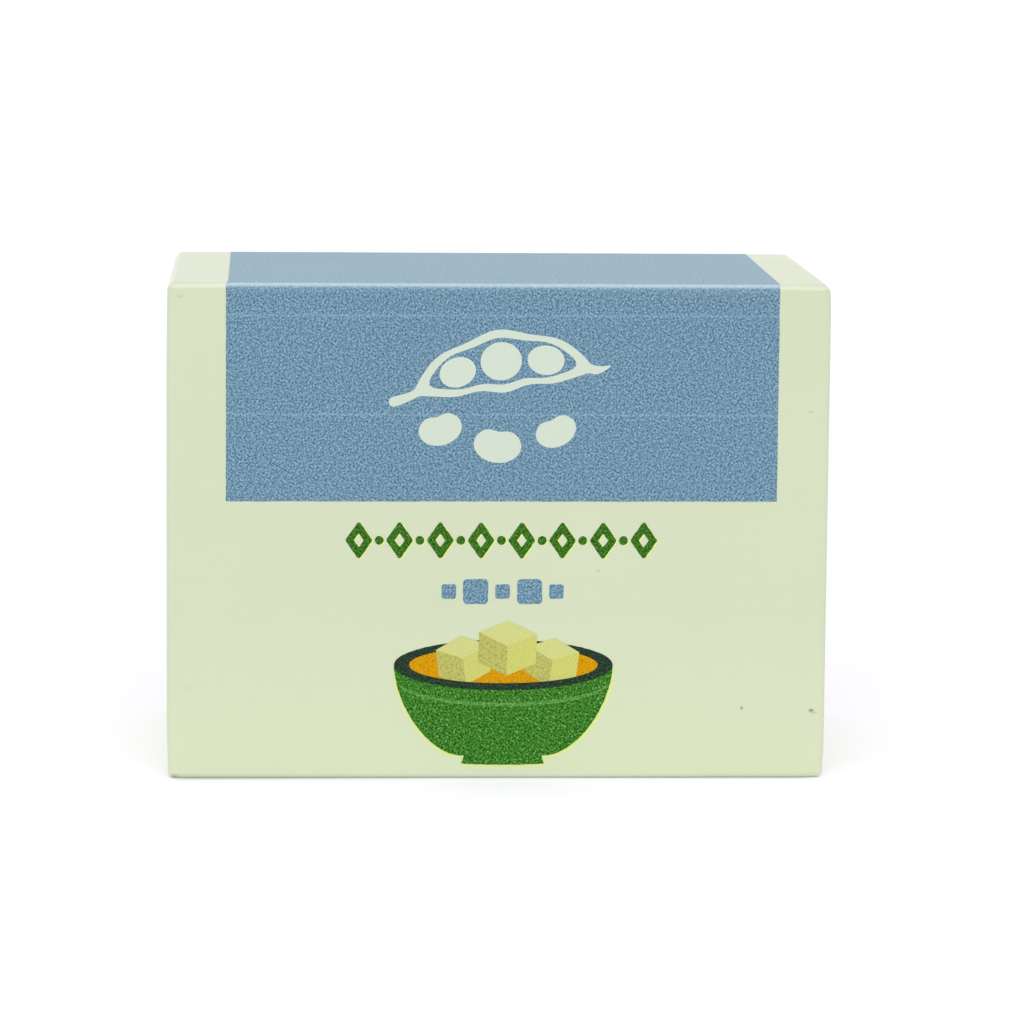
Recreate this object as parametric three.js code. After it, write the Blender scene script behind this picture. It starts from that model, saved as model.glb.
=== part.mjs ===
// Play-food tofu block: one solid piece of painted wood.
// Millimetres, +Z up. The broad front face looks towards -Y, and the origin is
// at the middle of the underside, so the block stands on z = 0.
//
// The six faces are flat. Every edge is eased by a small round, and the eight
// corners, which sanding takes down faster than the edges, are rounder: the
// radius grows smoothly from EDGE_RADIUS to CORNER_RADIUS over the last few
// millimetres of each edge.

import * as THREE from 'three';

// ---- driving dimensions (mm) ------------------------------------------------

const WIDTH = 66;             // X, along the front
const DEPTH = 38;             // Y, front to back
const HEIGHT = 49.8;          // Z, standing on its long narrow side

const EDGE_RADIUS = 0.55;     // eased edge
const CORNER_RADIUS = 0.8;    // sanded corner
const CORNER_RUN = 1.8;       // how far along an edge the rounder corner reaches

// ---- mesh fineness ----------------------------------------------------------

const HALF_ROUND_STEPS = 3;                 // steps over half of each edge's round
const CORNER_STEPS = [1.0, 1.9, 3.0, 4.6];  // rows inward of the round (mm)

// One coordinate's stations, from one side of the block to the other. A station
// is either on a round, at turn 0 (where the flat ends) to turn 1 (on the edge's
// middle line), or on the flat, at a signed distance from the middle.
function stations(half) {
  const side = [];
  for (let i = HALF_ROUND_STEPS; i >= 0; i--) side.push({ turn: i / HALF_ROUND_STEPS });
  for (const step of CORNER_STEPS) side.push({ at: half - CORNER_RADIUS - step });
  const low = side.map((s) => ({ ...s, sign: -1 }));
  const high = side.map((s) => ({ ...s, sign: 1 })).reverse();
  return [...low, { at: 0, sign: 1 }, ...high];
}

// How far a station lies inside its own face, before any rounding.
function insetOf(station, half) {
  return station.turn === undefined ? half - station.at : EDGE_RADIUS * (1 - station.turn);
}

// The radius of the round at one place: wider only where three faces meet.
function localRadius(insets) {
  const nearCorner = insets.reduce((w, d) => w * Math.exp(-((d / CORNER_RUN) ** 2)), 1);
  return EDGE_RADIUS + (CORNER_RADIUS - EDGE_RADIUS) * nearCorner;
}

// A point of the block's skin from its three stations.
function skinPoint(trio, halves) {
  const radius = localRadius(trio.map((s, k) => insetOf(s, halves[k])));
  const core = [];
  const out = [];
  for (let k = 0; k < 3; k++) {
    const s = trio[k];
    if (s.turn === undefined) {
      core.push(s.sign * s.at);
      out.push(0);
    } else {
      core.push(s.sign * (halves[k] - radius));
      out.push(s.sign * Math.tan((Math.PI / 4) * s.turn));
    }
  }
  const length = Math.hypot(...out);
  return core.map((c, k) => c + (radius * out[k]) / length);
}

function easedBlockGeometry(width, depth, height) {
  const halves = [width / 2, depth / 2, height / 2];
  const rows = halves.map(stations);
  const positions = [];
  const indices = [];
  const known = new Map();

  function vertex(ijk) {
    const key = ijk.join();
    if (!known.has(key)) {
      const p = skinPoint(ijk.map((n, k) => rows[k][n]), halves);
      known.set(key, positions.length / 3);
      positions.push(p[0], p[1], p[2] + height / 2);
    }
    return known.get(key);
  }

  for (let axis = 0; axis < 3; axis++) {
    const u = (axis + 1) % 3;
    const v = (axis + 2) % 3;
    for (const end of [0, rows[axis].length - 1]) {
      for (let i = 0; i + 1 < rows[u].length; i++) {
        for (let j = 0; j + 1 < rows[v].length; j++) {
          const corner = (di, dj) => {
            const ijk = [0, 0, 0];
            ijk[axis] = end;
            ijk[u] = i + di;
            ijk[v] = j + dj;
            return vertex(ijk);
          };
          const a = corner(0, 0);
          const b = corner(1, 0);
          const c = corner(1, 1);
          const d = corner(0, 1);
          if (end > 0) indices.push(a, b, c, a, c, d);
          else indices.push(a, c, b, a, d, c);
        }
      }
    }
  }

  const geometry = new THREE.BufferGeometry();
  geometry.setAttribute('position', new THREE.Float32BufferAttribute(positions, 3));
  geometry.setIndex(indices);
  geometry.computeVertexNormals();
  return geometry;
}

// ---- the part ---------------------------------------------------------------

const paintedWood = new THREE.MeshStandardMaterial({
  name: 'pale_paint',
  color: new THREE.Color(0xdce5c4),
  roughness: 0.55,
  metalness: 0,
});

const block = new THREE.Mesh(easedBlockGeometry(WIDTH, DEPTH, HEIGHT), paintedWood);
block.name = 'block';

const part = new THREE.Group();
part.add(block);

export default part;
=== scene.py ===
import math

import bpy
import numpy as np
from mathutils import Matrix, Vector, geometry


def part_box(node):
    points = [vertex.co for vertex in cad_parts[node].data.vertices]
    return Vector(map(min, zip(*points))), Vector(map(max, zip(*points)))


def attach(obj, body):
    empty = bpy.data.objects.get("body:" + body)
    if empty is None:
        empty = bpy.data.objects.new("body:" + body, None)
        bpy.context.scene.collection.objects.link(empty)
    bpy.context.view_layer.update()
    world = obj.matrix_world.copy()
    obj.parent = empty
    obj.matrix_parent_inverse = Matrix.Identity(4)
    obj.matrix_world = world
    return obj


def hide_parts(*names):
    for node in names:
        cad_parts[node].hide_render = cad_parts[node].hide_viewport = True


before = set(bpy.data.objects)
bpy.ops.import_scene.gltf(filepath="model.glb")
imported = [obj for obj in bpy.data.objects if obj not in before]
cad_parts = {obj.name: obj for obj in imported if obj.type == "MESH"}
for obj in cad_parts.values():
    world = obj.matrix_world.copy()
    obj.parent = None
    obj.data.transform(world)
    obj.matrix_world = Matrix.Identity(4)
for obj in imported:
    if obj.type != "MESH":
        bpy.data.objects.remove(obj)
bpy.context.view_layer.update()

# =============================================================================
# Sizes. Everything below is worked out in millimetres in the part's own frame
# and written into the meshes in metres.
# =============================================================================

MM = 0.001
LOW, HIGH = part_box("block")
HX, HY = HIGH.x / MM, HIGH.y / MM          # half width, half depth
HZ = HIGH.z / MM / 2                       # half height
TOP = 2 * HZ
HALVES = np.array([HX, HY, HZ])

BAND_LEFT, BAND_RIGHT = -27.09, 27.80      # the blue field, on the front
BAND_DRIFT = (0.10, 0.26)                  # its sides' drift over the top face
BAND_FOOT = 28.05                          # its lower edge

INK = 0.012                                # one pass of ink (mm)
SUNK = -0.035                              # how far a layer's underside lies in the wood

rng = np.random.default_rng(20)


# =============================================================================
# Smooth, seeded value noise for shapes (the shaders use Blender's own).
# =============================================================================

def lattice_noise(points, cell, seed):
    """Smooth noise from -1 to 1 at points (n, 3), with features about cell wide."""
    p = np.asarray(points, float) / cell
    base = np.floor(p).astype(np.int64)
    t = p - base
    t = t * t * (3 - 2 * t)
    total = np.zeros(len(p))
    for corner in range(8):
        d = np.array([corner & 1, (corner >> 1) & 1, (corner >> 2) & 1])
        q = base + d
        h = (q[:, 0] * 73856093) ^ (q[:, 1] * 19349663) ^ (q[:, 2] * 83492791) ^ (seed * 2654435761)
        h = (h ^ (h >> 13)) * 1274126177
        h = (h ^ (h >> 16)) & 0xFFFF
        w = np.prod(np.where(d, t, 1 - t), axis=1)
        total += w * (h / 32767.5 - 1)
    return total


# =============================================================================
# The block's skin: any point of the sharp box that bounds the block is carried
# to the eased, sanded surface. The same function places the wood and the ink.
# =============================================================================

def edge_radius(insets, points):
    """The round's radius (mm): a little more on upright edges and corners, and most
    on the two short edges of the top, which the hand and the sander reach first."""
    upright = np.exp(-(insets[:, 0] / 1.6) ** 2) * np.exp(-(insets[:, 1] / 1.6) ** 2)
    corner = np.exp(-((insets / 1.7) ** 2).sum(axis=1))
    sanding = 0.03 * lattice_noise(points, 4.7, 3) + 0.015 * lattice_noise(points, 1.3, 4)
    short = np.exp(-(insets[:, 0] / 1.6) ** 2) * np.exp(-(insets[:, 2] / 1.6) ** 2) * (points[:, 2] > 0)
    return 0.55 + 0.02 * upright + 0.08 * corner + 0.26 * short + sanding


def smooth(t):
    t = np.clip(t, 0, 1)
    return t * t * (3 - 2 * t)


def lean(surface):
    """How far the two ends draw in towards the top and the foot (mm along x)."""
    x, z = surface[:, 0], surface[:, 2]
    left = 0.13 * np.exp(-(TOP - z) / 5.5) + 0.08 * smooth((4.6 - z) / 2.0)
    right = 0.07 * np.exp(-(TOP - z) / 2.0) + 0.03 * smooth((4.0 - z) / 2.0)
    return np.where(x < 0, left, -right) * smooth((np.abs(x) - (HX - 4.5)) / 4.0)


def relief(points, normals):
    """How far the painted wood lies inside the true surface (mm, never outside it)."""
    stretched = points * np.array([0.12, 1.0, 1.0])
    grain = 0.5 + 0.5 * lattice_noise(stretched, 1.9, 11)
    swell = 0.5 + 0.5 * lattice_noise(points, 13.0, 12)
    amount = 0.006 * grain + 0.008 * swell
    return np.where(normals[:, 2] < -0.7, 0.0, amount)


def skin(points, lift=0.0, with_relief=True):
    """points (n, 3), on the bounding box with z from -HZ to HZ -> surface points, normals."""
    points = np.asarray(points, float)
    insets = np.maximum(HALVES - np.abs(points), 0)
    radius = edge_radius(insets, points)
    sign = np.where(points < 0, -1.0, 1.0)
    turn = np.clip(1 - insets / radius[:, None], 0, 1)
    on_round = insets < radius[:, None]
    core = np.where(on_round, sign * (HALVES - radius[:, None]), points)
    out = np.where(on_round, sign * np.tan(math.pi / 4 * turn), 0.0)
    normals = out / np.linalg.norm(out, axis=1)[:, None]
    depth = relief(points, normals) if with_relief else 0.0
    lift = np.broadcast_to(np.asarray(lift, float), (len(points),))
    surface = core + normals * (radius + lift - depth)[:, None]
    surface[:, 2] += HZ
    surface[:, 0] += lean(surface)
    return surface, normals


# =============================================================================
# Mesh helpers
# =============================================================================

def mesh_object(name, vertices_mm, faces, smooth=None, sharp_angle=None):
    mesh = bpy.data.meshes.new(name)
    mesh.from_pydata((np.asarray(vertices_mm) * MM).tolist(), [], faces)
    mesh.validate()
    mesh.update()
    if smooth is not None:
        mesh.polygons.foreach_set("use_smooth", np.full(len(mesh.polygons), bool(smooth)))
    if sharp_angle is not None:
        mesh.set_sharp_from_angle(angle=math.radians(sharp_angle))
    ob = bpy.data.objects.new(name, mesh)
    bpy.context.scene.collection.objects.link(ob)
    return ob


def finish_piece(ob, material):
    ob.data.materials.append(material)
    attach(ob, "root")
    return ob


# =============================================================================
# The painted wood
# =============================================================================

# Small marks in the paint of the front: x, z, half width, half height, depth (mm),
# and how much grime and painted shade they hold (0 to 1)
PITS = [
    (24.60, 7.16, 0.13, 0.14, 0.10, 0.95),       # a pinhole near the lower right
    (31.62, 6.90, 0.24, 0.16, 0.12, 1.00),       # a nick by the right edge, with a tail
    (31.95, 6.66, 0.30, 0.10, 0.04, 0.35),
    (10.05, 21.05, 0.14, 0.12, 0.05, 0.30),
    (-31.60, 48.38, 0.34, 0.10, 0.04, 0.30),
    (31.05, 37.08, 0.26, 0.09, 0.05, 0.40),
    (-31.12, 9.18, 0.10, 0.16, 0.02, 0.12),
    (-30.90, 8.92, 0.12, 0.10, 0.02, 0.14),
    (-30.72, 9.18, 0.10, 0.16, 0.02, 0.12),
]


def stations(half, pitch, fine=()):
    """Signed distances from the middle: close rows on the rounds, even rows between."""
    r = 1.12
    inner = half - r
    count = max(2, int(round(2 * inner / pitch)))
    rows = list(np.linspace(-inner, inner, count + 1))
    for step in (0.0, 0.08, 0.16, 0.24, 0.32, 0.40, 0.48, 0.56, 0.65, 0.76, 0.88, 1.0):
        rows += [half - step, -(half - step)]
    for centre, reach in fine:
        rows += list(centre + reach * np.linspace(-1.6, 1.6, 9))
    rows = np.unique(np.round([v for v in rows if abs(v) <= half], 4))
    keep = [rows[0]]
    for v in rows[1:]:
        if v - keep[-1] > 0.018:
            keep.append(v)
    keep[-1] = half
    return np.array(keep)


def make_block():
    xs = stations(HX, 0.85, [(p[0], p[2]) for p in PITS])
    ys = stations(HY, 0.95)
    zs = stations(HZ, 0.85, [(p[1] - HZ, p[3]) for p in PITS])
    rows = [xs, ys, zs]
    key_of = {}
    keys, faces = [], []

    def index(i, j, k):
        key = (i, j, k)
        if key not in key_of:
            key_of[key] = len(keys)
            keys.append(key)
        return key_of[key]

    for axis in range(3):
        u, v = (axis + 1) % 3, (axis + 2) % 3
        for end in (0, len(rows[axis]) - 1):
            for i in range(len(rows[u]) - 1):
                for j in range(len(rows[v]) - 1):
                    quad = []
                    for di, dj in ((0, 0), (1, 0), (1, 1), (0, 1)):
                        t = [0, 0, 0]
                        t[axis], t[u], t[v] = end, i + di, j + dj
                        quad.append(index(*t))
                    faces.append(quad if end else quad[::-1])
    keys = np.array(keys)
    nominal = np.stack([rows[k][keys[:, k]] for k in range(3)], axis=1)
    surface, normals = skin(nominal)

    # pits pressed into the front
    front = normals[:, 1] < -0.6
    for x, z, a, b, deep, grime_and_shade in PITS:
        d = ((surface[:, 0] - x) / a) ** 2 + ((surface[:, 2] - z) / b) ** 2
        surface[:, 1] += np.where(front, deep * np.exp(-d), 0)
    # a small flat worn on the front's lower left corner, and softer ones elsewhere
    for corner, reach, cut in (
        ((-HX, -HY, 0), 1.05, 0.14), ((HX, -HY, 0), 2.3, 0.17), ((HX, -HY, TOP), 0.9, 0.04),
        ((-HX, -HY, TOP), 1.0, 0.06), ((-HX, HY, TOP), 0.8, 0.03), ((HX, HY, TOP), 0.6, 0.01),
    ):
        corner = np.array(corner, float)
        inward = -np.sign(corner - np.array([0, 0, HZ])) / math.sqrt(3)
        d = np.linalg.norm(surface - corner, axis=1)
        w = np.clip(1 - d / (reach * 1.6), 0, 1) ** 1.5
        surface += inward * (cut * w)[:, None]
    surface[:, 2] = np.maximum(surface[:, 2], 0)
    return mesh_object("block_painted", surface, faces, smooth=True)


# =============================================================================
# Flat shapes for the print: closed outlines in the plane of a face (mm)
# =============================================================================

def ellipse(cx, cz, a, b, n=72, turn=0.0, start=0.0, stop=360.0):
    t = np.radians(np.linspace(start, stop, n, endpoint=stop - start < 360))
    x, z = a * np.cos(t), b * np.sin(t)
    c, s = math.cos(math.radians(turn)), math.sin(math.radians(turn))
    return np.stack([cx + x * c - z * s, cz + x * s + z * c], axis=1)


def soft_polygon(corners, radius, n=6):
    """A polygon with its corners rounded."""
    corners = np.asarray(corners, float)
    out = []
    for k in range(len(corners)):
        a, b, c = corners[k - 1], corners[k], corners[(k + 1) % len(corners)]
        u, v = (a - b) / np.linalg.norm(a - b), (c - b) / np.linalg.norm(c - b)
        half = math.acos(np.clip(u @ v, -1, 1)) / 2
        cut = min(radius / math.tan(half), 0.45 * np.linalg.norm(a - b), 0.45 * np.linalg.norm(c - b))
        r = cut * math.tan(half)
        centre = b + (u + v) / np.linalg.norm(u + v) * (r / math.sin(half))
        p, q = b + u * cut - centre, b + v * cut - centre
        a0, a1 = math.atan2(p[1], p[0]), math.atan2(q[1], q[0])
        d = (a1 - a0 + math.pi) % (2 * math.pi) - math.pi
        for i in range(n + 1):
            t = a0 + d * i / n
            out.append(centre + r * np.array([math.cos(t), math.sin(t)]))
    return np.array(out)


def stroke(path, width):
    """The outline of a drawn line with round ends. width is a number or one for each point."""
    path = np.asarray(path, float)
    half = np.broadcast_to(np.asarray(width, float) / 2, (len(path),))
    tangent = np.gradient(path, axis=0)
    tangent /= np.linalg.norm(tangent, axis=1)[:, None]
    normal = np.stack([-tangent[:, 1], tangent[:, 0]], axis=1)
    left, right = path + normal * half[:, None], path - normal * half[:, None]

    def cap(centre, direction, r):
        a = math.atan2(direction[1], direction[0])
        t = np.linspace(a - math.pi / 2, a + math.pi / 2, 9)[1:-1]
        return np.stack([centre[0] + r * np.cos(t), centre[1] + r * np.sin(t)], axis=1)

    return np.concatenate([right, cap(path[-1], tangent[-1], half[-1]),
                           left[::-1], cap(path[0], -tangent[0], half[0])])


def arc(cx, cz, a, b, start, stop, n=28, turn=0.0):
    return ellipse(cx, cz, a, b, n=n, turn=turn, start=start, stop=min(stop, start + 359.99))


def ragged(outline, amount, pitch, seed):
    """The outline with points every pitch mm, moved a little as ink edges are."""
    closed = np.vstack([outline, outline[:1]])
    out = []
    for a, b in zip(closed[:-1], closed[1:]):
        steps = max(1, int(np.linalg.norm(b - a) / pitch))
        for i in range(steps):
            out.append(a + (b - a) * i / steps)
    out = np.array(out)
    at = np.column_stack([out, np.zeros(len(out))])
    move = np.stack([lattice_noise(at, 0.34, seed), lattice_noise(at, 0.34, seed + 1)], axis=1)
    return out + amount * move


def inside(points, outlines):
    """Even-odd test of points against several closed outlines."""
    result = np.zeros(len(points), bool)
    x, y = points[:, 0], points[:, 1]
    for ring in outlines:
        a, b = ring, np.roll(ring, -1, axis=0)
        for (x0, y0), (x1, y1) in zip(a, b):
            if y0 == y1:
                continue
            crosses = (y0 > y) != (y1 > y)
            result ^= crosses & (x < (x1 - x0) * (y - y0) / (y1 - y0) + x0)
    return result


def fill(outlines):
    """Triangles of the even-odd area of several closed outlines: (points, faces)."""
    points, edges = [], []
    for ring in outlines:
        first = len(points)
        points += [Vector((float(p[0]), float(p[1]))) for p in ring]
        edges += [(first + i, first + (i + 1) % len(ring)) for i in range(len(ring))]
    out = geometry.delaunay_2d_cdt(points, edges, [], 0, 1e-6)
    verts = np.array([[v.x, v.y] for v in out[0]])
    faces = np.array([f for f in out[2] if len(f) == 3])
    centre = verts[faces].mean(axis=1)
    faces = faces[inside(centre, outlines)]
    a, b, c = verts[faces[:, 0]], verts[faces[:, 1]], verts[faces[:, 2]]
    area = (b[:, 0] - a[:, 0]) * (c[:, 1] - a[:, 1]) - (b[:, 1] - a[:, 1]) * (c[:, 0] - a[:, 0])
    faces = faces[np.abs(area) > 1e-7]
    area = area[np.abs(area) > 1e-7]
    faces[area < 0] = faces[area < 0][:, ::-1]
    return verts, faces


def layer(name, outlines, side, lift):
    """A closed ink layer on the front (side -1) or the back (side 1), lift mm proud."""
    verts, faces = fill(outlines)
    used = np.unique(faces)
    lookup = -np.ones(len(verts), int)
    lookup[used] = np.arange(len(used))
    verts, faces = verts[used], lookup[faces]
    n = len(verts)
    # seen from outside, the back is the front turned half round the upright axis
    x = verts[:, 0] if side < 0 else -verts[:, 0]
    box = np.stack([x, np.full(n, side * HY), verts[:, 1] - HZ], axis=1)
    proud, _ = skin(box, lift=lift)
    under, _ = skin(box, lift=SUNK)
    rims = {}
    for f in faces:
        for a, b in ((f[0], f[1]), (f[1], f[2]), (f[2], f[0])):
            rims[(a, b)] = True
    walls = [(b, a, a + n, b + n) for (a, b) in rims if (b, a) not in rims]
    everything = [tuple(int(i) for i in f) for f in faces]
    everything += [tuple(int(i) + n for i in f[::-1]) for f in faces]
    everything += [tuple(int(i) for i in w) for w in walls]
    return mesh_object(name, np.vstack([proud, under]), everything, smooth=False)


# =============================================================================
# The blue field: up the front, over the top and down the back
# =============================================================================

def make_band():
    """A closed layer along the path front, top, back, from foot to foot."""
    r = 0.80
    front = list(np.arange(BAND_FOOT, TOP - r - 0.1, 0.45)) + [TOP - r]
    turn = [TOP - r + r * t for t in (0.1, 0.2, 0.3, 0.4, 0.5, 0.6, 0.7, 0.8, 0.9, 1.0)]
    up = np.array(front[:] + turn)                       # heights on the front, up to the edge
    over = np.array([r * t for t in (0.1, 0.2, 0.3, 0.4, 0.5, 0.6, 0.7, 0.8, 0.9, 1.0)])
    flat = np.linspace(r, 2 * HY - r, 56)[1:]
    over = np.concatenate([over, flat, 2 * HY - over[::-1][1:], [2 * HY]])
    path = []                                            # (y, z - HZ, along the top 0..1)
    for z in up:
        path.append((-HY, z - HZ, 0.0))
    for y in over:
        path.append((y - HY, HZ, y / (2 * HY)))
    for z in up[::-1][1:]:
        path.append((HY, z - HZ, 1.0))
    path = np.array(path)
    across = np.concatenate([[0, 0.004, 0.010], np.linspace(0.02, 0.98, 64), [0.990, 0.996, 1.0]])
    rows, cols = len(path), len(across)
    # the edges wander by a few hundredths of a millimetre
    at = np.column_stack([np.zeros(rows), path[:, 0], path[:, 1]])
    step_in = 0.20 * np.clip(path[:, 2] / 0.03, 0, 1) * (1 - path[:, 2])
    left = BAND_LEFT + BAND_DRIFT[0] * path[:, 2] + step_in + 0.022 * lattice_noise(at, 0.5, 31)
    right = BAND_RIGHT + BAND_DRIFT[1] * path[:, 2] + 0.022 * lattice_noise(at, 0.5, 32)
    box = np.zeros((rows, cols, 3))
    box[:, :, 0] = left[:, None] + (right - left)[:, None] * across[None, :]
    box[:, :, 1] = path[:, 0][:, None]
    box[:, :, 2] = path[:, 1][:, None]
    at = np.column_stack([box[0, :, 0], np.zeros(cols), np.zeros(cols)])
    tilt = 0.035 * (across * 2 - 1)
    box[0, :, 2] += tilt + 0.02 * lattice_noise(at, 0.5, 33)
    box[-1, :, 2] -= tilt + 0.02 * lattice_noise(at, 0.5, 34)
    flatbox = box.reshape(-1, 3)
    proud, _ = skin(flatbox, lift=2 * INK)
    under, _ = skin(flatbox, lift=SUNK)
    n = rows * cols
    faces = []
    for i in range(rows - 1):
        for j in range(cols - 1):
            a, b, c, d = i * cols + j, i * cols + j + 1, (i + 1) * cols + j + 1, (i + 1) * cols + j
            faces.append((a, b, c, d))
            faces.append((d + n, c + n, b + n, a + n))
    rim = [j for j in range(cols)]
    rim += [i * cols + cols - 1 for i in range(1, rows)]
    rim += [(rows - 1) * cols + j for j in range(cols - 2, -1, -1)]
    rim += [i * cols for i in range(rows - 2, 0, -1)]
    for a, b in zip(rim, rim[1:] + rim[:1]):
        faces.append((b, a, a + n, b + n))
    return mesh_object("blue_band", np.vstack([proud, under]), faces, smooth=True, sharp_angle=50)


# =============================================================================
# The drawings
# =============================================================================

def turned(outline, cx, cz, degrees):
    c, sn = math.cos(math.radians(degrees)), math.sin(math.radians(degrees))
    p = np.asarray(outline, float)
    return np.stack([cx + p[:, 0] * c - p[:, 1] * sn, cz + p[:, 0] * sn + p[:, 1] * c], axis=1)


def loose_bean(size):
    """A kidney-shaped bean about its own middle."""
    t = np.linspace(0, 2 * math.pi, 64, endpoint=False)
    notch = np.exp(-((np.angle(np.exp(1j * (t - math.pi / 2)))) / 0.42) ** 2)
    r = size * (1 - 0.24 * notch)
    return np.stack([1.28 * r * np.cos(t), 0.96 * r * np.sin(t)], axis=1)


def pod_motif(cx=0.45, cz=40.0, tilt=8):
    """An open bean pod with its beans, and three loose beans below: pale areas."""
    outlines = []
    length, bow = 17.8, 0.026

    def axis(x):
        return 2.1 - bow * x * x

    # the shell: stem, body and pointed tip along one bowed line
    body_x = np.linspace(-length / 2, length / 2, 131)
    u = np.linspace(0, 1, 131)
    body = 3.15 * np.sin(math.pi * u) ** 0.62 * (0.93 - 0.07 * np.cos(6 * math.pi * u))
    stem_x = np.linspace(-length / 2 - 2.2, -length / 2, 16)[:-1]
    tip_x = np.linspace(length / 2, length / 2 + 1.7, 16)[1:]
    x = np.concatenate([stem_x, body_x, tip_x])
    z = axis(x) + 0.20 * np.clip(-(x + length / 2), 0, 9) ** 1.5 + 0.42 * np.clip(x - length / 2, 0, 9) ** 1.6
    half = np.concatenate([np.linspace(0.50, 0.38, 15), body, np.linspace(0.50, 0.08, 15)])
    half = np.maximum(half, np.where(x > length / 2, 0.0, 0.38))
    kernel = np.hanning(9)[1:-1]
    half = np.convolve(np.pad(half, 3, mode="edge"), kernel / kernel.sum(), mode="valid")
    half[-1] = 0.08
    outlines.append(turned(stroke(np.stack([x, z], axis=1), 2 * half), cx, cz, tilt))
    # its opening, a long leaf-shaped gap
    reach = 7.35
    gap_x = np.linspace(-reach, reach, 81)
    v = np.linspace(0, 1, 81)
    gap = np.maximum(2.32 * np.sin(math.pi * v) ** 0.50 * (0.935 - 0.065 * np.cos(6 * math.pi * v)), 0.03)
    outlines.append(turned(stroke(np.stack([gap_x, axis(gap_x)], axis=1), 2 * gap), cx, cz, tilt))
    # three beans lying in it
    for bx, wide, high in ((-4.42, 1.84, 1.47), (0.0, 2.05, 1.90), (4.42, 1.84, 1.47)):
        lean = math.degrees(math.atan(-2 * bow * bx))
        bean = ellipse(0, 0, wide, high, turn=lean) + np.array([bx, axis(bx)])
        outlines.append(turned(bean, cx, cz, tilt))
    # loose beans
    for bx, bz, lean, size in ((-6.3, -4.7, 16, 1.70), (-0.6, -6.3, -7, 1.85), (5.2, -4.9, 24, 1.62)):
        outlines.append(turned(loose_bean(size), cx + bx, cz + bz, lean))
    return outlines


def lozenge_row(cz=24.13):
    """Open lozenges and dots in turn, across the middle of the face."""
    outlines = []
    left, right, count, w, h = -15.25, 15.9, 8, 1.36, 1.96
    step = (right - left - 2 * w) / (count - 1)
    for k in range(count):
        cx = left + w + k * step
        for a, b, r in ((w, h, 0.22), (w - 0.86, h - 1.24, 0.10)):
            outlines.append(soft_polygon([(cx - a, cz), (cx, cz - b), (cx + a, cz), (cx, cz + b)], r))
        if k < count - 1:
            outlines.append(ellipse(cx + step / 2, cz, 0.44, 0.44, n=28))
    return outlines


def square_row(cz=18.98):
    """Small solid squares with rounded corners, every other one larger."""
    outlines = []
    for cx, half in ((-4.90, 0.72), (-2.22, 1.25), (0.48, 0.72), (3.18, 1.25), (5.86, 0.72)):
        outlines.append(soft_polygon(
            [(cx - half, cz - half), (cx + half, cz - half), (cx + half, cz + half), (cx - half, cz + half)],
            0.32 * half))
    return outlines


BOWL_X, RIM_Z, RIM_A, RIM_B = 0.62, 11.55, 10.95, 2.55
INNER_A, INNER_B = 9.45, 1.85


def bowl_side():
    """The bowl's side, from the rim's front curve to its foot."""
    top = ellipse(BOWL_X, RIM_Z, RIM_A, RIM_B, n=49, start=180, stop=359.99)
    # the wall narrows to a short foot
    t = np.linspace(0, 1, 30)[1:-1]
    wall_x = RIM_A * np.cos(t * math.pi / 2) ** 0.82 * (1 - t) + (3.9 + (RIM_A - 3.9) * np.cos(t * math.pi / 2) ** 0.9) * t
    wall_z = RIM_Z - (RIM_Z - 2.35) * np.sin(t * math.pi / 2) ** 1.12
    right = np.stack([BOWL_X + wall_x, wall_z], axis=1)
    foot = np.array([[BOWL_X + 3.9, 2.35], [BOWL_X + 4.15, 1.58]])
    foot_low = ellipse(BOWL_X, 1.58, 4.15, 0.16, n=15, start=0, stop=-179.99)[1:-1]
    left = np.stack([2 * BOWL_X - right[::-1, 0], right[::-1, 1]], axis=1)
    foot_left = np.array([[BOWL_X - 4.15, 1.58], [BOWL_X - 3.9, 2.35]])
    return np.concatenate([top, right, foot, foot_low, foot_left, left])


def cube_faces(cx, cz, s, tilt=0.0):
    """A cube seen from above its front edge: top, left and right faces."""
    w, d, h = s * 0.95, s * 0.42, s * 0.98
    c, sn = math.cos(math.radians(tilt)), math.sin(math.radians(tilt))

    def spot(x, z):
        return (cx + x * c - z * sn, cz + x * sn + z * c)

    top = [spot(0, d), spot(-w, 0), spot(0, -d), spot(w, 0)]
    left = [spot(-w, 0), spot(-w, -h), spot(0, -d - h), spot(0, -d)]
    right = [spot(w, 0), spot(0, -d), spot(0, -d - h), spot(w, -h)]
    return top, left, right


CUBES = [
    # centre of the top face, half size, tilt: back row first
    (-4.15, 13.35, 2.75, 6),
    (5.05, 13.15, 2.70, -7),
    (0.45, 14.75, 3.05, -2),
]


def clip_to_bowl(polygon):
    """The part of a polygon that is above the front inner curve of the rim."""
    dense = ragged(np.asarray(polygon, float), 0.0, 0.18, 0)
    x = np.clip((dense[:, 0] - BOWL_X) / (INNER_A + 0.2), -1, 1)
    floor = RIM_Z - (INNER_B + 0.2) * np.sqrt(1 - x ** 2)
    dense[:, 1] = np.maximum(dense[:, 1], floor)
    keep = [dense[0]]
    for p in dense[1:]:
        if np.linalg.norm(p - keep[-1]) > 0.02:
            keep.append(p)
    return np.array(keep)


# =============================================================================
# Materials
# =============================================================================

def srgb(r, g, b):
    def linear(c):
        c /= 255
        return c / 12.92 if c <= 0.04045 else ((c + 0.055) / 1.055) ** 2.4
    return (linear(r), linear(g), linear(b))


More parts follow.
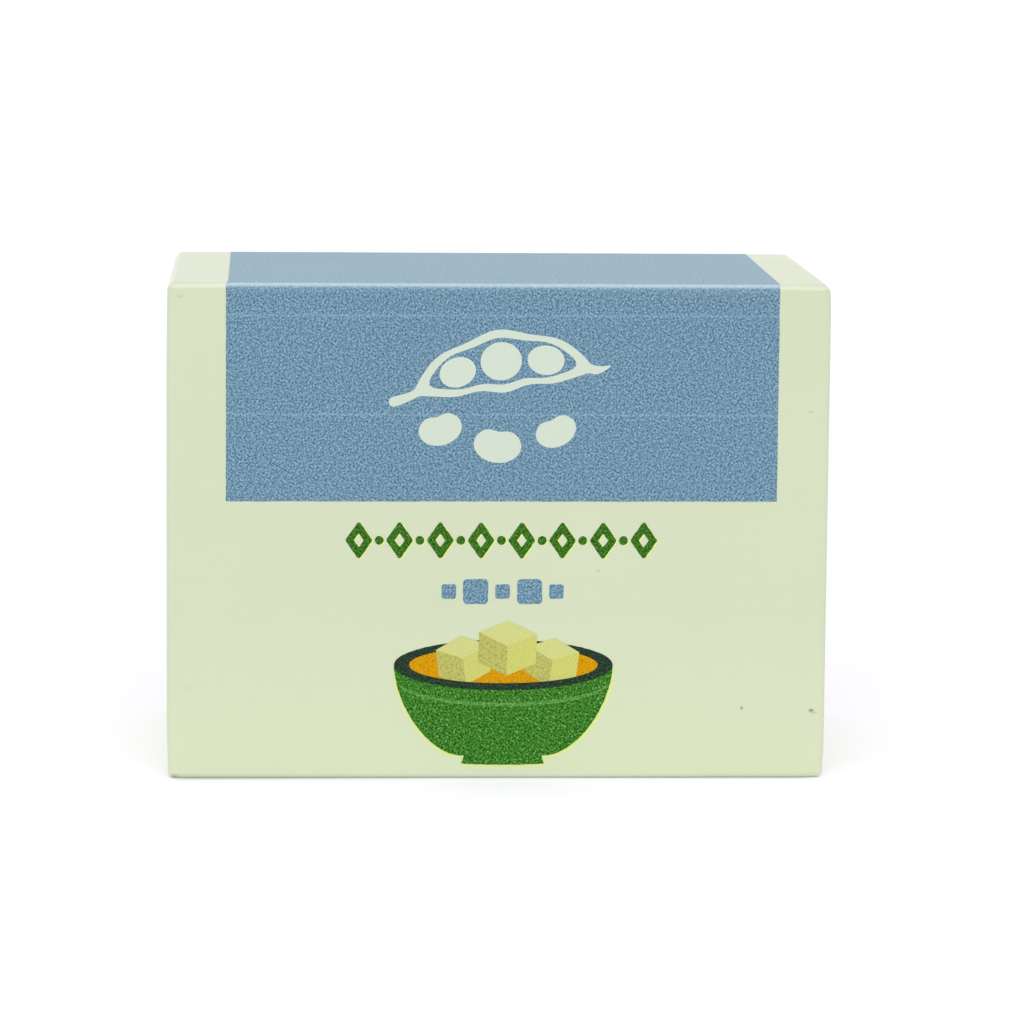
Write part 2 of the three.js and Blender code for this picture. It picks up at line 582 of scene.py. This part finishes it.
class Nodes:
    """A short way to write a shader tree."""

    def __init__(self, name):
        self.material = bpy.data.materials.new(name)
        self.material.use_nodes = True
        self.tree = self.material.node_tree
        self.tree.nodes.clear()
        self.output = self.add("ShaderNodeOutputMaterial")
        self.bsdf = self.add("ShaderNodeBsdfPrincipled")
        self.link(self.bsdf.outputs[0], self.output.inputs[0])
        coords = self.add("ShaderNodeTexCoord")
        scale = self.add("ShaderNodeVectorMath", operation="SCALE")
        scale.inputs["Scale"].default_value = 1000.0      # metres to millimetres
        self.link(coords.outputs["Object"], scale.inputs[0])
        self.mm = scale.outputs[0]

    def add(self, kind, **settings):
        node = self.tree.nodes.new(kind)
        for key, value in settings.items():
            setattr(node, key, value)
        return node

    def link(self, a, b):
        self.tree.links.new(a, b)

    def value(self, node, socket, what):
        if isinstance(what, (int, float)):
            node.inputs[socket].default_value = what
        else:
            self.link(what, node.inputs[socket])

    def math(self, op, a, b=0.0, c=0.0, clamp=False):
        node = self.add("ShaderNodeMath", operation=op, use_clamp=clamp)
        for i, v in enumerate((a, b, c)):
            self.value(node, i, v)
        return node.outputs[0]

    def stretch(self, x, y, z):
        node = self.add("ShaderNodeVectorMath", operation="MULTIPLY")
        node.inputs[1].default_value = (x, y, z)
        self.link(self.mm, node.inputs[0])
        return node.outputs[0]

    def noise(self, scale, detail=0.0, rough=0.5, at=None, lac=2.0, distortion=0.0):
        node = self.add("ShaderNodeTexNoise", noise_dimensions="3D")
        node.inputs["Scale"].default_value = scale
        node.inputs["Detail"].default_value = detail
        node.inputs["Roughness"].default_value = rough
        node.inputs["Lacunarity"].default_value = lac
        node.inputs["Distortion"].default_value = distortion
        self.link(at if at is not None else self.mm, node.inputs["Vector"])
        return node.outputs["Fac"]

    def spread(self, fac, low, high, to_low, to_high):
        node = self.add("ShaderNodeMapRange", clamp=True)
        self.link(fac, node.inputs["Value"])
        for key, v in (("From Min", low), ("From Max", high), ("To Min", to_low), ("To Max", to_high)):
            self.value(node, key, v)
        return node.outputs["Result"]

    def mix(self, fac, a, b, blend="MIX"):
        node = self.add("ShaderNodeMix", data_type="RGBA", blend_type=blend, clamp_factor=True)
        for key, v in ((0, fac), (6, a), (7, b)):
            if isinstance(v, tuple):
                node.inputs[key].default_value = (*v[:3], 1.0)
            else:
                self.value(node, key, v)
        return node.outputs[2]

    def bright(self, colour, factor):
        """colour times factor, a number that varies over the surface."""
        node = self.add("ShaderNodeVectorMath", operation="SCALE")
        if isinstance(colour, tuple):
            node.inputs[0].default_value = colour[:3]
        else:
            self.link(colour, node.inputs[0])
        self.value(node, "Scale", factor)
        return node.outputs[0]

    def bump(self, height, distance, strength, normal=None):
        node = self.add("ShaderNodeBump")
        node.inputs["Strength"].default_value = strength
        node.inputs["Distance"].default_value = distance
        self.link(height, node.inputs["Height"])
        if normal is not None:
            self.link(normal, node.inputs["Normal"])
        return node.outputs["Normal"]

    def spot(self, x, y, z, wide, high):
        """1 at a place (mm), falling to 0 at wide and high from it."""
        away = self.add("ShaderNodeVectorMath", operation="SUBTRACT")
        away.inputs[1].default_value = (x, y, z)
        self.link(self.mm, away.inputs[0])
        scaled = self.add("ShaderNodeVectorMath", operation="MULTIPLY")
        scaled.inputs[1].default_value = (1 / wide, 0.6, 1 / high)
        self.link(away.outputs[0], scaled.inputs[0])
        length = self.add("ShaderNodeVectorMath", operation="LENGTH")
        self.link(scaled.outputs[0], length.inputs[0])
        return self.spread(length.outputs["Value"], 0.0, 1.0, 1.0, 0.0)


PAINT = (210, 219, 186)
BLUE = (100, 141, 163)
PALE = (208, 221, 202)
GREEN = (33, 112, 16)
DARK_GREEN = (30, 56, 38)
ORANGE = (212, 152, 6)
CUBE_TOP = (207, 209, 129)
CUBE_LEFT = (185, 185, 96)
CUBE_RIGHT = (203, 204, 107)
YELLOW = (222, 236, 146)


def painted_wood():
    n = Nodes("pale_paint")
    # long soft streaks where the wood's grain lifts the paint, and slow drift in its shade
    grain = n.noise(0.55, detail=3.0, rough=0.55, at=n.stretch(0.07, 1.0, 1.0))
    fine = n.noise(2.6, detail=2.0, rough=0.6, at=n.stretch(0.035, 1.0, 1.0))
    drift = n.noise(0.055, detail=2.0, rough=0.5)
    peel = n.noise(1.9, detail=1.0, rough=0.5)
    shade = n.math("ADD", n.spread(grain, 0.3, 0.7, 0.995, 1.005), n.spread(fine, 0.3, 0.7, -0.003, 0.003))
    r, g, b = PAINT
    tone = n.mix(n.spread(drift, 0.35, 0.65, 0.0, 1.0), srgb(r - 0.7, g - 0.8, b - 1.0), srgb(r + 0.7, g + 0.8, b + 1.0))
    colour = n.bright(tone, shade)
    # painted highlights along the top edges, painted floor light low on the front, and a painted contact shadow
    # along the foot
    sep = n.add("ShaderNodeSeparateXYZ")
    n.link(n.mm, sep.inputs[0])
    dy = n.math("SUBTRACT", n.math("ABSOLUTE", sep.outputs[1]), HY - 0.18)
    dz = n.math("SUBTRACT", sep.outputs[2], TOP - 0.18)
    away = n.math("SQRT", n.math("ADD", n.math("MULTIPLY", dy, dy), n.math("MULTIPLY", dz, dz)))
    away = n.math("ADD", away, n.math("MULTIPLY", n.math("SUBTRACT", peel, 0.5), 0.12))
    # painted highlight over the two long top edges
    colour = n.mix(n.spread(away, 0.28, 0.52, 0.38, 0.0), colour, srgb(242, 248, 232))
    # painted highlight over the two short top edges
    dx = n.math("SUBTRACT", n.math("ABSOLUTE", sep.outputs[0]), HX - 0.36)
    end = n.math("SQRT", n.math("ADD", n.math("MULTIPLY", dx, dx), n.math("MULTIPLY", dz, dz)))
    colour = n.mix(n.spread(end, 0.12, 0.46, 0.36, 0.0), colour, srgb(240, 243, 238))
    # lighter and yellower towards the foot: painted light standing in for the floor's bounce
    colour = n.mix(n.spread(sep.outputs[2], 1.5, 17.0, 1.0, 0.0), colour, srgb(r + 3.5, g + 4.5, b + 2.0))
    # a dark line along the foot: painted contact shadow
    colour = n.mix(n.spread(sep.outputs[2], 0.03, 0.24, 0.62, 0.0), colour, srgb(112, 120, 118))
    worn = n.spot(-HX + 0.75, -HY + 0.1, 0.12, 0.62, 0.42)
    colour = n.mix(n.math("MULTIPLY", worn, 0.6), colour, srgb(92, 94, 84))
    # grime and painted shade in the pits of the front
    for x, z, a, b, deep, grime_and_shade in PITS:
        dark = n.spot(x, -HY, z, 1.7 * a, 1.7 * b)
        colour = n.mix(n.math("MULTIPLY", n.math("POWER", dark, 1.3), grime_and_shade), colour, srgb(112, 112, 84))
    n.link(colour, n.bsdf.inputs["Base Color"])
    n.link(n.spread(n.math("ADD", grain, peel), 0.7, 1.3, 0.29, 0.37), n.bsdf.inputs["Roughness"])
    n.bsdf.inputs["Specular IOR Level"].default_value = 0.42
    normal = n.bump(n.math("ADD", grain, n.math("MULTIPLY", fine, 0.35)), 0.00004, 0.35)
    normal = n.bump(peel, 0.000018, 0.35, normal)
    n.link(normal, n.bsdf.inputs["Normal"])
    return n.material


def ink(name, colour, mottle, rough=(0.42, 0.58), specks=None, band=False, spec=0.30, relief_mm=0.008):
    """Printed ink: droplets that gather in a fine mottle, with relief and uneven gloss.

    colour is the middle shade and mottle how far the lightest and darkest dots lie
    from it, both in display levels from 0 to 255."""
    n = Nodes(name)
    # the sheet the ink was laid on, unrolled: across, and up the front and over the top
    sep = n.add("ShaderNodeSeparateXYZ")
    n.link(n.mm, sep.inputs[0])
    sheet = n.add("ShaderNodeCombineXYZ")
    n.link(sep.outputs[0], sheet.inputs[0])
    n.link(n.math("ADD", sep.outputs[1], sep.outputs[2]), sheet.inputs[1])
    turned = n.add("ShaderNodeVectorRotate", rotation_type="Z_AXIS")
    turned.inputs["Angle"].default_value = 0.53
    n.link(sheet.outputs[0], turned.inputs["Vector"])

    def grain(scale):
        node = n.add("ShaderNodeTexNoise", noise_dimensions="2D")
        node.inputs["Scale"].default_value = scale
        node.inputs["Detail"].default_value = 0.0
        n.link(turned.outputs[0], node.inputs["Vector"])
        return node.outputs["Fac"]

    a = grain(1.7)
    b = grain(5.3)
    height = n.math("ADD", n.math("MULTIPLY", a, 0.08), n.math("MULTIPLY", b, 0.92))
    spread = mottle if isinstance(mottle, tuple) else (mottle,) * 3
    dark = srgb(*[max(2, c - m) for c, m in zip(colour, spread)])
    light = srgb(*[min(250, c + m) for c, m in zip(colour, spread)])
    grade = n.spread(height, 0.14, 0.86, 0.0, 1.0)
    if band:
        # the print on top was laid more evenly
        even = n.spread(sep.outputs[2], TOP - 0.40, TOP - 0.10, 1.0, 0.5)
        grade = n.math("ADD", n.math("MULTIPLY", n.math("SUBTRACT", grade, 0.5), even), 0.5)
    tone = n.mix(n.math("POWER", grade, 1.25), dark, light)
    if band:
        # the top face lighter and cooler: painted sheen for the grazing reflection on the top
        tone = n.mix(n.spread(sep.outputs[2], TOP - 0.40, TOP - 0.10, 0.0, 0.27), tone, srgb(178, 218, 236))
    drift = n.noise(0.08, detail=2.0, rough=0.5)
    level = n.spread(drift, 0.3, 0.7, 0.985, 1.015)
    if band:
        # two faint passes of the print head, at fixed heights on the front and back
        broken = n.noise(0.16, detail=3.0, rough=0.6, at=n.stretch(1.0, 1.0, 0.02))
        lines = 0.0
        for z, slope, wide, amount in ((46.60, 0.0021, 0.17, 0.18), (36.725, 0.0004, 0.17, 0.17), (43.1, 0.0, 0.5, 0.008)):
            height_here = n.math("MULTIPLY_ADD", sep.outputs[0], -slope, sep.outputs[2])
            off = n.math("ABSOLUTE", n.math("SUBTRACT", height_here, z))
            line = n.spread(off, 0.0, wide, amount, 0.0)
            line = n.math("MULTIPLY", line, n.spread(broken, 0.38, 0.62, 0.55, 1.0))
            lines = n.math("ADD", line, lines)
        tone = n.mix(lines, tone, srgb(200, 232, 252))
    out = n.bright(tone, level)
    if band:
        # over the two long top edges the ink is thin, and a painted highlight lies along the rounded edge
        across = n.math("ABSOLUTE", sep.outputs[1])
        dy = n.math("SUBTRACT", across, HY - 0.20)
        dz = n.math("SUBTRACT", sep.outputs[2], TOP - 0.20)
        away = n.math("SQRT", n.math("ADD", n.math("MULTIPLY", dy, dy), n.math("MULTIPLY", dz, dz)))
        ragged_away = n.math("ADD", away, n.math("MULTIPLY", n.math("SUBTRACT", a, 0.5), 0.10))
        # the painted highlight's soft spread either side of the edge
        out = n.mix(n.spread(ragged_away, 0.28, 0.85, 0.13, 0.0), out, srgb(200, 222, 232))
        # a thin darker line on the top just behind the edge: painted shade
        ring = n.math("MULTIPLY", n.spread(away, 0.34, 0.44, 0.0, 1.0), n.spread(away, 0.56, 0.74, 1.0, 0.0))
        ring = n.math("MULTIPLY", ring, n.spread(sep.outputs[2], TOP - 0.16, TOP - 0.06, 0.0, 0.28))
        out = n.mix(ring, out, srgb(92, 128, 142))
        # the painted highlight's bright line on the rounded edge
        out = n.mix(n.spread(ragged_away, 0.06, 0.36, 0.62, 0.0), out, srgb(214, 234, 240))
    if specks is not None:
        speck_colour, scale, low, high, strength = specks
        out = n.mix(n.spread(grain(scale), low, high, 0.0, strength), out, speck_colour)
    n.link(out, n.bsdf.inputs["Base Color"])
    n.link(n.spread(height, 0.35, 0.65, rough[1], rough[0]), n.bsdf.inputs["Roughness"])
    n.bsdf.inputs["Specular IOR Level"].default_value = spec
    n.link(n.bump(height, relief_mm * MM, 0.6), n.bsdf.inputs["Normal"])
    return n.material


# =============================================================================
# Build
# =============================================================================

paint = painted_wood()
blue = ink("blue_print", BLUE, (46, 41, 39), band=True, spec=0.36)
blue_small = ink("blue_print_small", BLUE, (46, 41, 39), spec=0.36)
pale = ink("white_print", PALE, 3, relief_mm=0.004)
green = ink("green_print", GREEN, (52, 50, 38), spec=0.10, specks=(srgb(132, 186, 108), 4.1, 0.70, 0.84, 0.8))
green_line = ink("green_print_light", (84, 150, 62), 36, spec=0.12)
green_small = ink("green_print_small", (46, 106, 20), (40, 40, 20), spec=0.12)
dark_green = ink("dark_green_print", DARK_GREEN, 22, spec=0.10, specks=(srgb(84, 108, 76), 3.9, 0.72, 0.86, 0.6))
orange = ink("orange_print", ORANGE, (12, 12, 4), spec=0.06, specks=(srgb(160, 100, 6), 3.8, 0.66, 0.82, 0.6))
cube_top = ink("cream_print_top", CUBE_TOP, 5)
cube_left = ink("cream_print_left", CUBE_LEFT, 14, specks=(srgb(146, 136, 66), 3.6, 0.62, 0.80, 0.6))
cube_right = ink("cream_print_right", CUBE_RIGHT, 6)
yellow = ink("yellow_print", YELLOW, 4)

block = make_block()
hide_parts("block")
finish_piece(block, paint)

band = finish_piece(make_band(), blue)

for side, word in ((-1, "front"), (1, "back")):
    shapes = [
        ("emblem", pod_motif(), pale, "white_print", 3 * INK, 0.0),
        ("row_fringe", [o + np.array([0.14, -0.10]) for o in lozenge_row()], yellow, "cream_print", 1 * INK, 0.0),
        ("row", lozenge_row(), green_small, "green_print", 2 * INK, 0.025),
        ("squares", square_row(), blue_small, "blue_print", 2 * INK, 0.025),
    ]
    bowl = bowl_side()
    middle = bowl.mean(axis=0)
    low = np.clip((RIM_Z - bowl[:, 1]) / 1.5, 0, 1)
    fringe = bowl.copy()
    fringe[:, 0] += 0.07 + 0.20 * low * np.sign(bowl[:, 0] - BOWL_X)
    fringe[:, 1] -= 0.22 * low
    shapes.append(("bowl_fringe", [fringe], yellow, "cream_print", 1 * INK, 0.0))
    shapes.append(("bowl_rim", [ellipse(BOWL_X, RIM_Z, RIM_A, RIM_B, n=96)], dark_green, "dark_green_print", 2 * INK, 0.02))
    shapes.append(("bowl_broth", [ellipse(BOWL_X, RIM_Z, INNER_A, INNER_B, n=84)], orange, "orange_print", 3 * INK, 0.015))
    for k, (cx, cz, s, tilt) in enumerate(CUBES):
        top, left, right = cube_faces(BOWL_X + cx, cz, s, tilt)
        lift = (4 + 1.0 * (k == 2)) * INK
        for part, poly, mat in (("top", top, cube_top), ("left", left, cube_left), ("right", right, cube_right)):
            shapes.append((f"cube{k + 1}_{part}", [clip_to_bowl(poly)], mat, "cream_print", lift, 0.0))
    rim_front = np.concatenate([
        ellipse(BOWL_X, RIM_Z, RIM_A, RIM_B, n=49, start=180, stop=359.99),
        ellipse(BOWL_X, RIM_Z, INNER_A, INNER_B, n=49, start=359.99, stop=180),
    ])
    shapes.append(("bowl_lip", [rim_front], dark_green, "dark_green_print", 6 * INK, 0.0))
    shapes.append(("bowl", [bowl], green, "green_print", 5 * INK, 0.02))
    t = np.linspace(math.radians(192), math.radians(348), 60)
    line = np.stack([BOWL_X + (RIM_A - 0.30) * np.cos(t), RIM_Z - 1.55 + (RIM_B - 0.1) * np.sin(t)], axis=1)
    shapes.append(("bowl_line", [stroke(line, 0.36 * np.sin(np.linspace(0.25, math.pi - 0.25, 60)) ** 0.5)],
                   green_line, "green_print", 6 * INK, 0.015))
    for name, outlines, mat, slot, lift, wander in shapes:
        if wander:
            outlines = [ragged(o, wander, 0.16, 50 + i) for i, o in enumerate(outlines)]
        finish_piece(layer(f"{word}_{name}", outlines, side, lift), mat)

# =============================================================================
# Stage: floor, light, camera
# =============================================================================

def make_floor():
    rings = [0.0, 0.05, 0.12, 0.3, 0.8, 2.0, 5.0, 12.0]
    n = 48
    verts = [(0.0, 0.0, 0.0)]
    faces = []
    for r in rings[1:]:
        verts += [(r * math.cos(2 * math.pi * k / n), r * math.sin(2 * math.pi * k / n), 0.0) for k in range(n)]
    for k in range(n):
        faces.append((0, 1 + k, 1 + (k + 1) % n))
    for i in range(len(rings) - 2):
        a, b = 1 + i * n, 1 + (i + 1) * n
        for k in range(n):
            j = (k + 1) % n
            faces.append((a + k, b + k, b + j, a + j))
    ob = mesh_object("floor", np.array(verts) / MM, faces)
    m = Nodes("floor_white")
    # a white sheet lit a little from below, as on a light table
    m.bsdf.inputs["Base Color"].default_value = (0.89, 0.866, 0.94, 1)
    m.bsdf.inputs["Emission Color"].default_value = (1, 1, 1, 1)
    # a painted pool of light in the sheet's glow in front of the block, lifting the shade its front casts there
    away = m.add("ShaderNodeVectorMath", operation="SUBTRACT")
    away.inputs[1].default_value = (0.0, -HY - 3.0, 0.0)
    m.link(m.mm, away.inputs[0])
    scaled = m.add("ShaderNodeVectorMath", operation="MULTIPLY")
    scaled.inputs[1].default_value = (1 / 24, 1 / 36, 0.0)
    m.link(away.outputs[0], scaled.inputs[0])
    length = m.add("ShaderNodeVectorMath", operation="LENGTH")
    m.link(scaled.outputs[0], length.inputs[0])
    fill = m.spread(length.outputs["Value"], 0.0, 1.0, 1.0, 0.0)
    fill = m.math("POWER", fill, 1.2)
    glow = m.math("MULTIPLY_ADD", fill, 0.050, 0.225)
    # and a painted contact shadow along the front's foot, in the glow and the colour
    at = m.add("ShaderNodeSeparateXYZ")
    m.link(m.mm, at.inputs[0])
    ahead = m.math("SUBTRACT", m.math("MULTIPLY", at.outputs[1], -1.0), HY - 0.35)
    painted_contact_shadow = m.math("MULTIPLY", m.spread(ahead, 0.05, 0.40, 0.0, 1.0), m.spread(ahead, 0.50, 1.30, 1.0, 0.0))
    painted_contact_shadow = m.math("MULTIPLY", painted_contact_shadow, m.spread(at.outputs[0], -HX, 5.0, 0.32, 0.17))
    ends = m.spread(m.math("ABSOLUTE", at.outputs[0]), HX - 1.5, HX - 0.1, 1.0, 0.0)
    left = m.math("SUBTRACT", 1.0, m.math("MULTIPLY", painted_contact_shadow, ends))
    m.link(m.math("MULTIPLY", glow, left), m.bsdf.inputs["Emission Strength"])
    m.link(m.bright((0.89, 0.866, 0.94), left), m.bsdf.inputs["Base Color"])
    m.bsdf.inputs["Roughness"].default_value = 0.9
    m.bsdf.inputs["Specular IOR Level"].default_value = 0.1
    ob.data.materials.append(m.material)
    return ob


make_floor()

world = bpy.data.worlds.new("studio")
bpy.context.scene.world = world
world.use_nodes = True
tree = world.node_tree
background = tree.nodes["Background"]
background.inputs["Color"].default_value = (1.0, 1.0, 1.0, 1.0)
# an even white room whose far wall, behind the block, is lit more
direction = tree.nodes.new("ShaderNodeTexCoord")
split = tree.nodes.new("ShaderNodeSeparateXYZ")
tree.links.new(direction.outputs["Generated"], split.inputs[0])
behind = tree.nodes.new("ShaderNodeMapRange")
behind.interpolation_type = "SMOOTHSTEP"
tree.links.new(split.outputs[1], behind.inputs["Value"])
for key, v in (("From Min", 0.15), ("From Max", 0.80), ("To Min", 0.0), ("To Max", 0.64)):
    behind.inputs[key].default_value = v
low_down = tree.nodes.new("ShaderNodeMapRange")
low_down.interpolation_type = "SMOOTHSTEP"
tree.links.new(split.outputs[2], low_down.inputs["Value"])
for key, v in (("From Min", 0.18), ("From Max", 0.66), ("To Min", 1.0), ("To Max", 0.0)):
    low_down.inputs[key].default_value = v
wall = tree.nodes.new("ShaderNodeMath")
wall.operation = "MULTIPLY_ADD"
tree.links.new(behind.outputs["Result"], wall.inputs[0])
tree.links.new(low_down.outputs["Result"], wall.inputs[1])
wall.inputs[2].default_value = 0.65
tree.links.new(wall.outputs[0], background.inputs["Strength"])


def sun(name, azimuth, elevation, spread, level):
    """A broad soft light from far off: level is what it gives a sheet that faces it."""
    data = bpy.data.lights.new(name, "SUN")
    data.energy = level * math.pi
    data.angle = math.radians(spread)
    ob = bpy.data.objects.new(name, data)
    bpy.context.scene.collection.objects.link(ob)
    a, e = math.radians(azimuth), math.radians(elevation)
    toward = Vector((math.sin(a) * math.cos(e), -math.cos(a) * math.cos(e), math.sin(e)))
    ob.rotation_euler = toward.to_track_quat("Z", "Y").to_euler()
    return ob


sun("front_softbox", -6, 42, 56, 0.275)
sun("overhead_softbox", 0, 76, 26, 0.07)

FOCAL_PX = 4652.1
YAW, PITCH, ROLL = 0.0505187539, 0.1357361182, 0.0085959241
EYE = Vector((-21.8267, -477.3943, 89.6784)) * MM

forward = Vector((math.sin(YAW) * math.cos(PITCH), math.cos(YAW) * math.cos(PITCH), -math.sin(PITCH)))
level = Vector((math.cos(YAW), -math.sin(YAW), 0))
over = level.cross(forward)
right = level * math.cos(ROLL) + over * math.sin(ROLL)
upward = -level * math.sin(ROLL) + over * math.cos(ROLL)
camera_data = bpy.data.cameras.new("camera")
camera_data.sensor_width = 36.0
camera_data.sensor_fit = "HORIZONTAL"
camera_data.lens = 36.0 * FOCAL_PX / 1024
camera_data.clip_start = 0.01
camera_data.clip_end = 60.0
camera = bpy.data.objects.new("camera", camera_data)
bpy.context.scene.collection.objects.link(camera)
camera.matrix_world = Matrix((
    (right.x, upward.x, -forward.x, EYE.x),
    (right.y, upward.y, -forward.y, EYE.y),
    (right.z, upward.z, -forward.z, EYE.z),
    (0, 0, 0, 1),
))
bpy.context.scene.camera = camera

view = bpy.context.scene.view_settings
view.view_transform = "Standard"
view.look = "None"
view.exposure = 0.0
view.gamma = 1.0
